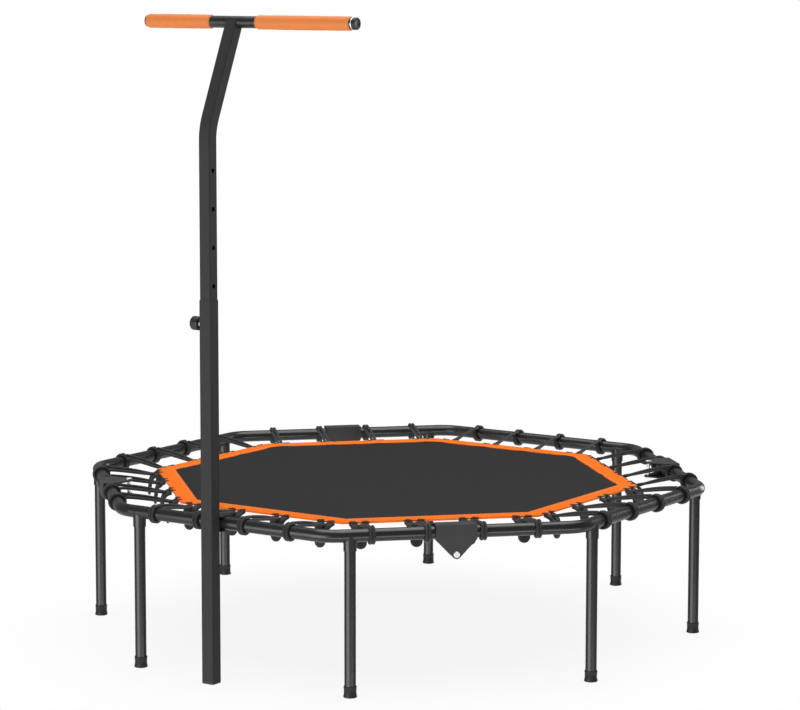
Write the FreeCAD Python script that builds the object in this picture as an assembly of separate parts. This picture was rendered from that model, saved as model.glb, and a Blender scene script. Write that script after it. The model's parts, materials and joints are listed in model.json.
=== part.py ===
import FreeCAD, Part
import math
import os

# Folding octagonal mini trampoline with a height-adjustable T-handle.
#
# Own frame, millimetres: origin on the floor under the middle of the bed, +Z up.
# The frame folds about a line along Y, through the front and back hinge pins.
# The front is -Y and the left half, which carries the handle, is at -X.
# Everything that repeats round the ring is drawn on the front side of the
# octagon, where X runs along the side and -Y points outward, then turned into place.

V = FreeCAD.Vector
Z_AXIS = V(0, 0, 1)

# ---- driving dimensions -------------------------------------------------
RING_R = 643.0            # octagon through the tube's centreline, to its sharp corners
RING_Z = 310.5            # height of the tube's centreline
TUBE_R = 12.5
TUBE_WALL = 1.5
BEND_R = 62.0
SPLIT_GAP = 1.0           # between two quarter tubes, end to end

LEG_R = 11.0
LEG_WALL = 1.2
LEG_ALONG = -201.8        # a leg's place along its side, from the side's middle
LEG_TOP_GAP = 3.0         # from the leg's end to the tube above it
SOCKET_R = 12.6
SOCKET_DROP = 29.0        # below the tube's centreline
FOOT_R = 12.2
FOOT_FLARE_R = 13.2
FOOT_H = 22.0
FOOT_BASE = 4.0
FOOT_SOLE_H = 3.0
FOOT_TAPER_Z = 7.0
FOOT_EDGE = 1.0

PIN_DEPTH = 40.5          # hinge pin below the tube's centreline
PIN_R = 3.25
PIN_RUN = 0.07            # running clearance of the moving tongue on the pin
PIN_HEAD_R = 6.2
PIN_HEAD_H = 2.4
HEAD_ROUND = 1.2          # rounding of rivet and screw heads
SADDLE_HALF = 40.0        # half length along the tube
SADDLE_SHEET = 2.0
SADDLE_EYE_R = 9.0
TONGUE_SHEET = 1.5
TONGUE_EYE_R = 7.5
EAR_CLEAR = 0.35          # between tongue and saddle
EAR_DROP = 12.0           # straight stretch of an ear's side, below the centreline

MAT_R = 471.2             # octagon of the black bed, to its corners
MAT_T = 2.5
BORDER_R = 512.4
BORDER_T = 4.5
BED_SPLIT = 0.5           # the bed's two solids are cut along the fold

BAND_ALONG = (-161.0, -54.0, 54.0, 161.0)
BAND_W = 12.0
BAND_R = 18.0
CORD_R = 2.6
CORD_SPREAD = 3.2
TAB_W = 40.0
TAB_TAIL_R = 12.0
TAB_WAIST = 34.0          # depth at which the tab has narrowed to its tail
TAB_LEN = 50.0
TAB_T = 3.5
TAB_TILT = 22.4           # degrees away from the bed
TAB_OUT = 2.6             # top of the tab, out from the bed's edge and below its middle
TAB_DROP = 0.8
STRAND_END_OUT = 6.0      # a strand's end, out from the bed's edge and above its middle
STRAND_END_RISE = 4.5

POST_W = 26.6
POST_WALL = 0.7
POST_CORNER = 2.0
POST_ALONG = -7.5
POST_TOP = 743.0
POST_SEAM = 322.0
POST_GAP = 0.5            # between the post and the ring's tube
FOOT_PLUG_H = 3.0
FOOT_PLUG_TOP = 18.0
SPIGOT_W = 25.0
SPIGOT_WALL = 1.5
SPIGOT_Z = (236.0, 333.0)
STRAP_T = 3.0
STRAP_W = 34.0
SCREW_DROPS = (70.0, 40.0)   # below the post's seam
SCREW_HEAD_R = 4.0
SCREW_HEAD_H = 2.2

MAST_W = 24.6
MAST_WALL = 1.0
MAST_CORNER = 2.0
MAST_FOOT_Z = 630.0
MAST_BEND_Z = 1068.0
MAST_BEND_R = 110.0
HOLE_Z = 697.0            # height of the locking pin
HOLE_STEP = 73.0
HOLE_COUNT = 5
HOLE_R = 4.6
BUSH_FLANGE = 4.0
BUSH_REACH = 20.0
PLUG_EASE = 0.2           # looseness of a plug in its square tube

BAR_OUT = 534.0           # crossbar: distance out from the middle of the ring
BAR_Z = 1266.0
BAR_R = 11.5
BAR_WALL = 1.5
BAR_LEFT = -209.0         # ends, from the mast
BAR_RIGHT = 283.5
CAP_LEFT = 3.0            # length of each end cap's head
CAP_RIGHT = 8.0
CAP_REACH = 14.0
GRIP_R = 13.6
GRIP_ROUND = 1.6
GRIP_SHORT = (-206.0, -52.0)
GRIP_LONG = (54.5, 270.0)

KNOB_R = 13.5
KNOB_GAP = 7.0            # from the post's face to the knob's rim
KNOB_LEN = 17.5
KNOB_BORE_R = 9.2
KNOB_BORE_DEPTH = 14.0
KNOB_ROUND = 2.0
KNOB_FACE_T = 1.5         # knob material beyond the locking pin's end
NECK_R = 8.0
NECK_LEN = 14.5
NECK_WALL = 1.5
LOCK_R = 4.0
LOCK_COLLAR_R = 6.2
LOCK_COLLAR = (8.0, 9.2)  # from the post's face
LOCK_REST_GAP = 0.35      # between the pulled-out pin and the mast
NECK_PLAY = 0.06
SPRING_R = 5.3
SPRING_WIRE_R = 0.4
SPRING_TURNS = 3
SPRING_PLAY = 0.05

# ---- derived ------------------------------------------------------------
APOTHEM = RING_R * math.cos(math.radians(22.5))
HALF_SIDE = RING_R * math.sin(math.radians(22.5))
BORDER_EDGE = BORDER_R * math.cos(math.radians(22.5))
POST_OUT = APOTHEM + TUBE_R + POST_GAP + POST_W / 2
TONGUE_IN = TUBE_R + 0.1
TONGUE_OUT = TONGUE_IN + TONGUE_SHEET
SADDLE_IN = TONGUE_OUT + EAR_CLEAR
SADDLE_OUT = SADDLE_IN + SADDLE_SHEET
POST_FACE = POST_ALONG - POST_W / 2
MAST_FACE = POST_ALONG - MAST_W / 2
HANDLE_SIDE = 225

SIDES = {
    "front": 270, "front_right": 315, "right": 0, "back_right": 45,
    "back": 90, "back_left": 135, "left": 180, "front_left": 225,
}

os.makedirs("parts", exist_ok=True)


# ---- helpers ------------------------------------------------------------
def save(name, solids):
    shape = solids[0] if len(solids) == 1 else Part.makeCompound(solids)
    for solid in shape.Solids:
        if not solid.isValid():
            raise ValueError(name + " is not valid")
    shape.exportStep("parts/" + name + ".step")


def on_side(shape, angle):
    """Turn a shape drawn on the front side to the side at this angle."""
    turned = shape.copy()
    turned.rotate(V(0, 0, 0), Z_AXIS, angle - 270)
    return turned


def rounded_path(points, radius):
    """Straight runs through the points, with a tangent arc at each inner point."""
    edges = []
    start = points[0]
    for before, corner, after in zip(points, points[1:], points[2:]):
        a = (before - corner).normalize()
        b = (after - corner).normalize()
        half = a.getAngle(b) / 2
        reach = radius / math.tan(half)
        centre = corner + (a + b).normalize() * (radius / math.sin(half))
        first = corner + a * reach
        last = corner + b * reach
        middle = centre + (corner - centre).normalize() * radius
        edges.append(Part.LineSegment(start, first).toShape())
        edges.append(Part.Arc(first, middle, last).toShape())
        start = last
    edges.append(Part.LineSegment(start, points[-1]).toShape())
    return Part.Wire(edges)


def sweep(profile, path):
    return Part.Solid(path.makePipeShell([profile], True, False))


def round_tube(path, start, direction, radius, wall):
    outer = Part.Wire(Part.makeCircle(radius, start, direction))
    inner = Part.Wire(Part.makeCircle(radius - wall, start, direction))
    return sweep(outer, path).cut(sweep(inner, path)).Solids[0]


def cylinder(radius, start, end):
    run = end - start
    return Part.makeCylinder(radius, run.Length, start, run)


def square_wire(x, y, z, width, corner):
    """Rounded square, level, centred on (x, y, z)."""
    h = width / 2
    c = h - corner
    s = corner * math.sqrt(0.5)
    edges = []
    for turn in range(4):
        line = Part.LineSegment(V(h, -c, 0), V(h, c, 0)).toShape()
        arc = Part.Arc(V(h, c, 0), V(c + s, c + s, 0), V(c, h, 0)).toShape()
        for edge in (line, arc):
            edge.rotate(V(0, 0, 0), Z_AXIS, 90 * turn)
            edges.append(edge)
    wire = Part.Wire(edges)
    wire.translate(V(x, y, z))
    return wire


def square_bar(x, y, z0, z1, width, corner):
    return Part.Face(square_wire(x, y, z0, width, corner)).extrude(V(0, 0, z1 - z0))


def square_tube(x, y, z0, z1, width, wall, corner):
    inner = square_bar(x, y, z0 - 1, z1 + 1, width - 2 * wall, max(corner - wall, 0.4))
    return square_bar(x, y, z0, z1, width, corner).cut(inner)


def octagon_slab(radius, z0, z1):
    corners = [V(radius * math.cos(math.radians(22.5 + 45 * i)),
                 radius * math.sin(math.radians(22.5 + 45 * i)), z0) for i in range(9)]
    return Part.Face(Part.makePolygon(corners)).extrude(V(0, 0, z1 - z0))


def half_space(side):
    """A block that holds everything on one side of the fold, less half the split."""
    size = 2 * RING_R
    x0 = BED_SPLIT / 2 if side > 0 else -size - BED_SPLIT / 2
    return Part.makeBox(size, 2 * size, size, V(x0, -size, 0))


# ---- frame --------------------------------------------------------------
def quarter_tube():
    """From the front hinge, anticlockwise, to the right hinge."""
    gap = SPLIT_GAP / 2
    points = [V(gap, -APOTHEM, RING_Z), V(HALF_SIDE, -APOTHEM, RING_Z),
              V(APOTHEM, -HALF_SIDE, RING_Z), V(APOTHEM, -gap, RING_Z)]
    return round_tube(rounded_path(points, BEND_R), points[0], V(1, 0, 0), TUBE_R, TUBE_WALL)


def leg_socket():
    low = RING_Z - SOCKET_DROP
    sleeve = Part.makeCylinder(SOCKET_R, SOCKET_DROP, V(LEG_ALONG, -APOTHEM, low))
    bore = Part.makeCylinder(LEG_R + 0.2, SOCKET_DROP, V(LEG_ALONG, -APOTHEM, low))
    reach = V(2 * SOCKET_R, 0, 0)
    top = V(LEG_ALONG, -APOTHEM, RING_Z)
    ring = cylinder(TUBE_R, top - reach, top + reach)
    rest = sleeve.cut(bore).cut(ring)
    return max(rest.Solids, key=lambda s: s.Volume)


def leg_tube():
    top = RING_Z - TUBE_R - LEG_TOP_GAP
    base = V(LEG_ALONG, -APOTHEM, FOOT_BASE)
    body = Part.makeCylinder(LEG_R, top - FOOT_BASE, base)
    return body.cut(Part.makeCylinder(LEG_R - LEG_WALL, top - FOOT_BASE, base))


def rubber_foot():
    """Cap over the leg's end, flared where it meets the floor."""
    outline = [V(0, 0, 0), V(FOOT_FLARE_R - FOOT_EDGE, 0, 0), V(FOOT_FLARE_R, 0, FOOT_EDGE),
               V(FOOT_FLARE_R, 0, FOOT_SOLE_H), V(FOOT_R, 0, FOOT_TAPER_Z), V(FOOT_R, 0, FOOT_H - FOOT_EDGE),
               V(FOOT_R - FOOT_EDGE, 0, FOOT_H), V(LEG_R, 0, FOOT_H), V(LEG_R, 0, FOOT_BASE),
               V(0, 0, FOOT_BASE), V(0, 0, 0)]
    cap = Part.Face(Part.makePolygon(outline)).revolve(V(0, 0, 0), Z_AXIS, 360)
    cap = Part.Solid(cap)
    cap.translate(V(LEG_ALONG, -APOTHEM, 0))
    return cap


# ---- hinges, drawn about the tube's axis at the origin, ears down --------
def ear_outline(x0, x1, top, eye_r):
    """Plate edge: a flat top and sides, tapering to a round eye on the pin."""
    eye = V(0, 0, -PIN_DEPTH)

    def tangent_point(corner, sign):
        run = corner - eye
        angle = math.atan2(run.z, run.x) - sign * math.acos(eye_r / run.Length)
        return eye + V(eye_r * math.cos(angle), 0, eye_r * math.sin(angle))

    right = V(x1, 0, -EAR_DROP)
    left = V(x0, 0, -EAR_DROP)
    a = tangent_point(right, 1)
    b = tangent_point(left, -1)
    return Part.Wire([
        Part.makePolygon([b, left, V(x0, 0, top), V(x1, 0, top), right, a]),
        Part.Arc(a, eye + V(0, 0, -eye_r), b).toShape()])


def channel(x0, x1, inside, outside, eye_r, hole_r):
    """Folded sheet: a web above the tube and two tapering ears with a pin hole."""
    outline = Part.Face(ear_outline(x0, x1, outside, eye_r))
    outline.translate(V(0, -outside, 0))
    block = outline.extrude(V(0, 2 * outside, 0))
    hollow = Part.makeBox(4 * SADDLE_HALF, 2 * inside, 4 * SADDLE_HALF,
                          V(-2 * SADDLE_HALF, -inside, inside - 4 * SADDLE_HALF))
    hole = cylinder(hole_r, V(0, -2 * outside, -PIN_DEPTH), V(0, 2 * outside, -PIN_DEPTH))
    return block.cut(hollow).cut(hole)


def saddle():
    """Fixed to the tube at -X and reaching over the other one, which it stops."""
    shell = channel(-SADDLE_HALF, SADDLE_HALF, SADDLE_IN, SADDLE_OUT, SADDLE_EYE_R, PIN_R)
    weld = Part.makeBox(SADDLE_HALF - 3, 2 * SADDLE_IN, EAR_DROP + SADDLE_IN,
                        V(-SADDLE_HALF + 2, -SADDLE_IN, -EAR_DROP))
    ring = cylinder(TUBE_R, V(-2 * SADDLE_HALF, 0, 0), V(2 * SADDLE_HALF, 0, 0))
    return shell.fuse(weld.cut(ring)).removeSplitter().Solids[0]


def tongue():
    """Fixed to the tube at +X and turning on the pin between the saddle's ears."""
    return channel(SPLIT_GAP, SADDLE_HALF - 2, TONGUE_IN, TONGUE_OUT, TONGUE_EYE_R, PIN_R + PIN_RUN)


def hinge_pin():
    shank = cylinder(PIN_R, V(0, -SADDLE_OUT, -PIN_DEPTH), V(0, SADDLE_OUT, -PIN_DEPTH))
    for way in (-1, 1):
        face = V(0, way * SADDLE_OUT, -PIN_DEPTH)
        head = cylinder(PIN_HEAD_R, face, face + V(0, way * PIN_HEAD_H, 0))
        rim = [e for e in head.Edges if abs(e.CenterOfMass.y) > SADDLE_OUT + PIN_HEAD_H - 0.01]
        shank = shank.fuse(head.makeFillet(HEAD_ROUND, rim))
    return shank.removeSplitter().Solids[0]


def place_hinge(shape, angle, fixed_left, level):
    """Move a hinge piece onto a side; level hinges have their pin upright."""
    piece = shape if fixed_left else shape.mirror(V(0, 0, 0), V(1, 0, 0))
    piece = piece.copy()
    if level:
        piece.rotate(V(0, 0, 0), V(1, 0, 0), 90)
    piece.translate(V(0, -APOTHEM, RING_Z))
    return on_side(piece, angle)


# ---- bed ----------------------------------------------------------------
def bed_mat():
    return octagon_slab(MAT_R, RING_Z - MAT_T / 2, RING_Z + MAT_T / 2)


def bed_border():
    low = RING_Z - BORDER_T / 2
    high = RING_Z + BORDER_T / 2
    return octagon_slab(BORDER_R, low, high).cut(octagon_slab(MAT_R, low - 1, high + 1))


def bed_tab():
    """Webbing tab that hangs from the bed's edge, narrowing to a round tail."""
    half = TAB_W / 2
    tail = -TAB_LEN + TAB_TAIL_R
    outline = Part.Wire([
        Part.makePolygon([V(-TAB_TAIL_R, 0, tail), V(-TAB_TAIL_R, 0, -TAB_WAIST), V(-half, 0, 0),
                          V(half, 0, 0), V(TAB_TAIL_R, 0, -TAB_WAIST), V(TAB_TAIL_R, 0, tail)]),
        Part.Arc(V(TAB_TAIL_R, 0, tail), V(0, 0, -TAB_LEN), V(-TAB_TAIL_R, 0, tail)).toShape()])
    tab = Part.Face(outline).extrude(V(0, TAB_T, 0))
    tab.translate(V(0, -TAB_T / 2, 0))
    tab.rotate(V(0, 0, 0), V(1, 0, 0), -TAB_TILT)
    tab.translate(V(0, -BORDER_EDGE - TAB_OUT, RING_Z - TAB_DROP))
    return tab


def bungee():
    """One elastic loop: two turns round the tube and two strands to the bed's edge."""
    outer = cylinder(BAND_R, V(-BAND_W / 2, 0, 0), V(BAND_W / 2, 0, 0))
    loop = outer.cut(cylinder(TUBE_R + 0.2, V(-BAND_W, 0, 0), V(BAND_W, 0, 0)))
    loop.translate(V(0, -APOTHEM, RING_Z))
    top = RING_Z + (TUBE_R + BAND_R) / 2
    for x in (-CORD_SPREAD, CORD_SPREAD):
        end = V(x, -BORDER_EDGE - STRAND_END_OUT, RING_Z + STRAND_END_RISE)
        strand = cylinder(CORD_R, V(x, -APOTHEM, top), end)
        loop = loop.fuse(strand)
    return loop.removeSplitter().Solids[0]


# ---- handle post, on the front-left side ---------------------------------
def post_lower():
    return square_tube(POST_ALONG, -POST_OUT, FOOT_PLUG_H, POST_SEAM - 0.5, POST_W, POST_WALL, POST_CORNER)


def post_upper():
    tube = square_tube(POST_ALONG, -POST_OUT, POST_SEAM, POST_TOP, POST_W, POST_WALL, POST_CORNER)
    hole = cylinder(LOCK_R + 0.3, V(POST_FACE - 5, -POST_OUT, HOLE_Z), V(POST_ALONG, -POST_OUT, HOLE_Z))
    return tube.cut(hole)


def post_spigot():
    z0, z1 = SPIGOT_Z
    return square_tube(POST_ALONG, -POST_OUT, z0, z1, SPIGOT_W, SPIGOT_WALL, POST_CORNER - 0.8)


def post_foot_plug():
    flange = square_bar(POST_ALONG, -POST_OUT, 0, FOOT_PLUG_H, POST_W, POST_CORNER)
    width = POST_W - 2 * POST_WALL - PLUG_EASE
    plug = square_bar(POST_ALONG, -POST_OUT, FOOT_PLUG_H, FOOT_PLUG_TOP, width, POST_CORNER / 2)
    return flange.fuse(plug).removeSplitter().Solids[0]


def post_screws():
    """Two screws that hold the upper post on its spigot, on the face towards the bed."""
    inner_face = -POST_OUT + POST_W / 2
    screws = []
    for drop in SCREW_DROPS:
        seat = V(POST_ALONG, inner_face, POST_SEAM - drop)
        head = cylinder(SCREW_HEAD_R, seat, seat + V(0, SCREW_HEAD_H, 0))
        rim = [e for e in head.Edges if e.CenterOfMass.y > inner_face + SCREW_HEAD_H - 0.01]
        screws.append(head.makeFillet(HEAD_ROUND, rim))
    return screws


def post_strap():
    """U-shaped strap round the frame tube, its ends welded to the post's inner face."""
    outer = TUBE_R + 0.1 + STRAP_T
    x0 = POST_ALONG - STRAP_W / 2
    x1 = POST_ALONG + STRAP_W / 2
    reach = POST_OUT - POST_W / 2 - APOTHEM
    axis0 = V(x0, 0, 0)
    axis1 = V(x1, 0, 0)
    body = cylinder(outer, axis0, axis1).fuse(Part.makeBox(STRAP_W, reach, 2 * outer, V(x0, -reach, -outer)))
    inner = cylinder(TUBE_R + 0.1, axis0 - V(1, 0, 0), axis1 + V(1, 0, 0))
    slot = Part.makeBox(STRAP_W + 2, reach + 20, 2 * (TUBE_R + 0.1), V(x0 - 1, -reach - 20, -TUBE_R - 0.1))
    far = Part.makeBox(STRAP_W + 2, 20, 4 * outer, V(x0 - 1, -reach - 20, -2 * outer))
    strap = body.cut(inner).cut(slot).cut(far).removeSplitter().Solids[0]
    strap.translate(V(0, -APOTHEM, RING_Z))
    return strap


# ---- sliding mast and crossbar -------------------------------------------
def mast():
    points = [V(POST_ALONG, -POST_OUT, MAST_FOOT_Z), V(POST_ALONG, -POST_OUT, MAST_BEND_Z),
              V(POST_ALONG, -BAR_OUT, BAR_Z)]
    path = rounded_path(points, MAST_BEND_R)
    inner_w = MAST_W - 2 * MAST_WALL
    outer = sweep(square_wire(points[0].x, points[0].y, points[0].z, MAST_W, MAST_CORNER), path)
    inner = sweep(square_wire(points[0].x, points[0].y, points[0].z, inner_w, MAST_CORNER - 1), path)
    tube = outer.cut(inner)
    for i in range(HOLE_COUNT):
        z = HOLE_Z + HOLE_STEP * i
        tube = tube.cut(cylinder(HOLE_R, V(POST_ALONG - MAST_W, -POST_OUT, z),
                                 V(POST_ALONG + MAST_W, -POST_OUT, z)))
    bar = bar_cylinder(BAR_R, 2 * BAR_LEFT, 2 * BAR_RIGHT)
    return max(tube.cut(bar).Solids, key=lambda s: s.Volume)


def mast_bush():
    """Plastic end piece of the mast, which guides it inside the post."""
    flange = square_bar(POST_ALONG, -POST_OUT, MAST_FOOT_Z - BUSH_FLANGE, MAST_FOOT_Z, MAST_W, MAST_CORNER)
    width = MAST_W - 2 * MAST_WALL - PLUG_EASE
    plug = square_bar(POST_ALONG, -POST_OUT, MAST_FOOT_Z, MAST_FOOT_Z + BUSH_REACH, width, MAST_CORNER / 2)
    return flange.fuse(plug).removeSplitter().Solids[0]


def bar_cylinder(radius, x0, x1):
    return cylinder(radius, V(POST_ALONG + x0, -BAR_OUT, BAR_Z), V(POST_ALONG + x1, -BAR_OUT, BAR_Z))


def crossbar():
    return bar_cylinder(BAR_R, BAR_LEFT + CAP_LEFT, BAR_RIGHT - CAP_RIGHT).cut(
        bar_cylinder(BAR_R - BAR_WALL, BAR_LEFT, BAR_RIGHT))


def rounded_ends(solid, radius, x0, x1):
    """Fillet a bar's outer end edges; the ends are given from the mast."""
    ends = (POST_ALONG + x0, POST_ALONG + x1)
    rims = [e for e in solid.Edges if min(abs(e.CenterOfMass.x - x) for x in ends) < 0.01]
    return solid.makeFillet(radius, rims)


def grip(span):
    foam = rounded_ends(bar_cylinder(GRIP_R, *span), GRIP_ROUND, *span)
    return foam.cut(bar_cylinder(BAR_R, 2 * BAR_LEFT, 2 * BAR_RIGHT))


def bar_cap(inner_end, outer_end):
    """Plug in the crossbar's end, with a head flush with the tube."""
    way = 1 if outer_end > inner_end else -1
    head = rounded_ends(bar_cylinder(BAR_R, inner_end, outer_end), HEAD_ROUND, outer_end, outer_end)
    plug = bar_cylinder(BAR_R - BAR_WALL - PLUG_EASE / 2, inner_end - CAP_REACH * way, inner_end)
    return head.fuse(plug).removeSplitter().Solids[0]


# ---- pull knob and locking pin, on the post's face towards the front-left leg
def knob_x(distance):
    """A place this far out from the post's face."""
    return POST_FACE - distance


def knob_bar(radius, near, far):
    return cylinder(radius, V(knob_x(near), -POST_OUT, HOLE_Z), V(knob_x(far), -POST_OUT, HOLE_Z))


def knob_head():
    far = KNOB_GAP + KNOB_LEN
    body = knob_bar(KNOB_R, KNOB_GAP, far)
    rims = [e for e in body.Edges if abs(e.CenterOfMass.x - knob_x(far)) < 0.01]
    rims += [e for e in body.Edges if abs(e.CenterOfMass.x - knob_x(KNOB_GAP)) < 0.01]
    body = body.makeFillet(KNOB_ROUND, rims)
    body = body.cut(knob_bar(KNOB_BORE_R, KNOB_GAP - 1, KNOB_GAP + KNOB_BORE_DEPTH))
    return body.cut(knob_bar(LOCK_R, KNOB_GAP, far - KNOB_FACE_T))


def knob_neck():
    body = knob_bar(NECK_R, 0, NECK_LEN)
    body = body.cut(knob_bar(LOCK_COLLAR_R + 0.3, NECK_WALL, NECK_LEN - NECK_WALL))
    return body.cut(knob_bar(LOCK_R + NECK_PLAY, -1, NECK_LEN + 1))


def locking_pin():
    """Held clear of the mast at rest; it travels inward into one of the mast's holes."""
    tip = POST_FACE - MAST_FACE + LOCK_REST_GAP
    shank = knob_bar(LOCK_R, tip, KNOB_GAP + KNOB_LEN - KNOB_FACE_T)
    return shank.fuse(knob_bar(LOCK_COLLAR_R, *LOCK_COLLAR)).removeSplitter().Solids[0]


def knob_spring():
    """Short coil between the neck's outer wall and the pin's collar."""
    start = LOCK_COLLAR[1] + SPRING_PLAY + SPRING_WIRE_R
    end = NECK_LEN - NECK_WALL - SPRING_PLAY - SPRING_WIRE_R
    helix = Part.makeLongHelix((end - start) / SPRING_TURNS, end - start, SPRING_R)
    wire = Part.Wire(Part.makeCircle(SPRING_WIRE_R, V(SPRING_R, 0, 0), V(0, 1, 0)))
    coil = Part.Solid(Part.Wire(helix.Edges).makePipeShell([wire], True, True))
    coil.rotate(V(0, 0, 0), V(0, 1, 0), -90)
    coil.translate(V(knob_x(start), -POST_OUT, HOLE_Z))
    return coil


# ---- write every node ----------------------------------------------------
def build():
    quarter = quarter_tube()
    for name, turn in (("front_right", 0), ("back_right", 90), ("back_left", 180), ("front_left", 270)):
        save("frame_tube_" + name, [on_side(quarter, 270 + turn)])

    right_legs = ("front_right", "right", "back_right", "back")
    left_legs = ("back_left", "left", "front_left", "front")
    socket = leg_socket()
    save("leg_sockets_right", [on_side(socket, SIDES[side]) for side in right_legs])
    save("leg_sockets_left", [on_side(socket, SIDES[side]) for side in left_legs])
    for side in right_legs + left_legs:
        save("leg_" + side, [on_side(leg_tube(), SIDES[side])])
        save("foot_" + side, [on_side(rubber_foot(), SIDES[side])])

    for side, fixed_left, level in (("front", True, False), ("back", False, False),
                                    ("left", True, True), ("right", True, True)):
        for name, piece in (("saddle", saddle()), ("tongue", tongue()), ("pin", hinge_pin())):
            save("hinge_" + name + "_" + side, [place_hinge(piece, SIDES[side], fixed_left, level)])

    for half, side in (("left", -1), ("right", 1)):
        save("bed_mat_" + half, [bed_mat().common(half_space(side)).Solids[0]])
        save("bed_border_" + half, [bed_border().common(half_space(side)).Solids[0]])
        tabs = []
        loops = []
        for angle in SIDES.values():
            for along in BAND_ALONG:
                for piece, found in ((bed_tab(), tabs), (bungee(), loops)):
                    piece.translate(V(along, 0, 0))
                    piece = on_side(piece, angle)
                    if piece.CenterOfMass.x * side > 0:
                        found.append(piece)
        save("bed_tabs_" + half, tabs)
        save("bungee_loops_" + half, loops)

    bar_ends = (BAR_LEFT + CAP_LEFT, BAR_RIGHT - CAP_RIGHT)
    handle = {
        "post_lower": [post_lower()], "post_upper": [post_upper()], "post_spigot": [post_spigot()],
        "post_foot_plug": [post_foot_plug()], "post_screws": post_screws(), "post_strap": [post_strap()],
        "mast": [mast()], "mast_bush": [mast_bush()], "crossbar": [crossbar()],
        "grip_short": [grip(GRIP_SHORT)], "grip_long": [grip(GRIP_LONG)],
        "crossbar_cap_left": [bar_cap(bar_ends[0], BAR_LEFT)],
        "crossbar_cap_right": [bar_cap(bar_ends[1], BAR_RIGHT)],
        "knob_head": [knob_head()], "knob_neck": [knob_neck()],
        "locking_pin": [locking_pin()], "knob_spring": [knob_spring()],
    }
    for name, solids in handle.items():
        save(name, [on_side(solid, HANDLE_SIDE) for solid in solids])


build()
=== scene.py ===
import json
import math
import random

import bpy
from mathutils import Matrix, Vector


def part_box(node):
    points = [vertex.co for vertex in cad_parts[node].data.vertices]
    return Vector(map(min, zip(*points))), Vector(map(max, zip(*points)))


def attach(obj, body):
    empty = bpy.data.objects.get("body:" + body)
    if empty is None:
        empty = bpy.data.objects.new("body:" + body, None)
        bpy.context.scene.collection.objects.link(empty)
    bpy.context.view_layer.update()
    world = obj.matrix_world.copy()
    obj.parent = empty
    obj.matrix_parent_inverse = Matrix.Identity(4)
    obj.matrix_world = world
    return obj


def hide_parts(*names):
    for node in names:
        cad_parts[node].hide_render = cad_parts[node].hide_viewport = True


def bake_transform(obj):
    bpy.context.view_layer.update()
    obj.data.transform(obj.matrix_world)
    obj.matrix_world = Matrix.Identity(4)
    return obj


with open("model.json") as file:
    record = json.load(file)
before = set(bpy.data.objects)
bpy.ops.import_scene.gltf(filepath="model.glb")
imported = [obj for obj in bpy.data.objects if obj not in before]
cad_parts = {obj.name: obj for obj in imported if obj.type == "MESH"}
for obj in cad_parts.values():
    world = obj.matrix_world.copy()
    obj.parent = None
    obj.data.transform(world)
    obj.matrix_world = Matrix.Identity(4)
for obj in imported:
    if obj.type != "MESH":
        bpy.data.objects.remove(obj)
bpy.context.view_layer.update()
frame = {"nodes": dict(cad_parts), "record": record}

# Folding octagonal mini trampoline with a T-handle: looks, camera and light.
# Metres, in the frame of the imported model. What repeats round the ring is made on
# the front side, where X runs along the side and -Y points outward, then turned.

MM = 0.001
TURN = 2 * math.pi
random.seed(7)

# ---- places read from the frame -------------------------------------------
tube_low, tube_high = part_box("frame_tube_front_right")
TUBE_R = (tube_high.z - tube_low.z) / 2
RING_Z = (tube_high.z + tube_low.z) / 2
APOTHEM = tube_high.x - TUBE_R
BORDER_OUT = -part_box("bed_border_left")[0].x
BORDER_IN = -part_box("bed_mat_left")[0].x
BORDER_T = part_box("bed_border_left")[1].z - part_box("bed_border_left")[0].z
SIDE_TAN = math.tan(math.radians(22.5))
SIDE_ANGLES = range(0, 360, 45)
FRONT_ANGLE = 270
HANDLE_ANGLE = 225
LEFT, RIGHT, MAST, KNOB = "left_frame", "right_frame", "handle_mast", "lock_knob"

# ---- sizes of the soft and moulded pieces ----------------------------------
BAND_ALONG = (-161 * MM, -54 * MM, 54 * MM, 161 * MM)
LEG_ALONG = -201.8 * MM
CORD_R = 3.1 * MM
CORD_GAP = 6.3 * MM            # between two turns of a bungee, centre to centre
TAB_LENGTH = 54                # millimetres, from the bed's edge to the tail
TAB_START, TAB_HANG = 14, 84   # degrees below level: at the bed and at the tail
TAB_BEND = 30                  # millimetres of tab over which it turns down
TAB_HALF_T = 2.7               # millimetres, half of its two layers
TAB_FOOT = 12.5 * MM           # from a tab's middle to each of its sewn feet
BED_TUCK = 14 * MM             # of bed under the border, all round
MAT_T = 1.8 * MM
THREAD_R = 0.42 * MM
TAB_THREAD_R = 0.36 * MM
STITCH_ROWS = (0.09, 0.2, 0.86)   # shares of the border's width, from its inner edge
LEG_R = 11 * MM
SOCKET_R = 12.6 * MM
KNOB_BORE_R = 9.2 * MM
PIN_BORE_R = 4.05 * MM         # hole in the knob for the locking pin


# ---- mesh helpers ------------------------------------------------------------
def mesh_object(name, verts, faces, smooth=True, uvs=None):
    """uvs holds one (u, v) for each vertex, in metres."""
    mesh = bpy.data.meshes.new(name)
    mesh.from_pydata([tuple(v) for v in verts], [], faces)
    mesh.update()
    if smooth:
        mesh.shade_smooth()
    if uvs:
        layer = mesh.uv_layers.new(name="metres")
        for loop in mesh.loops:
            layer.data[loop.index].uv = uvs[loop.vertex_index]
    obj = bpy.data.objects.new(name, mesh)
    bpy.context.scene.collection.objects.link(obj)
    return obj


class Builder:
    """Gathers vertices, faces and UVs of many like pieces into one mesh."""

    def __init__(self):
        self.verts = []
        self.faces = []
        self.uvs = []

    def add(self, verts, faces, uvs=None, matrix=None):
        base = len(self.verts)
        self.verts += [matrix @ v if matrix else v for v in verts]
        self.faces += [tuple(base + i for i in face) for face in faces]
        self.uvs += uvs or [(v.x, v.z) for v in verts]

    def make(self, name, smooth=True):
        return mesh_object(name, self.verts, self.faces, smooth, self.uvs)


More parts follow.
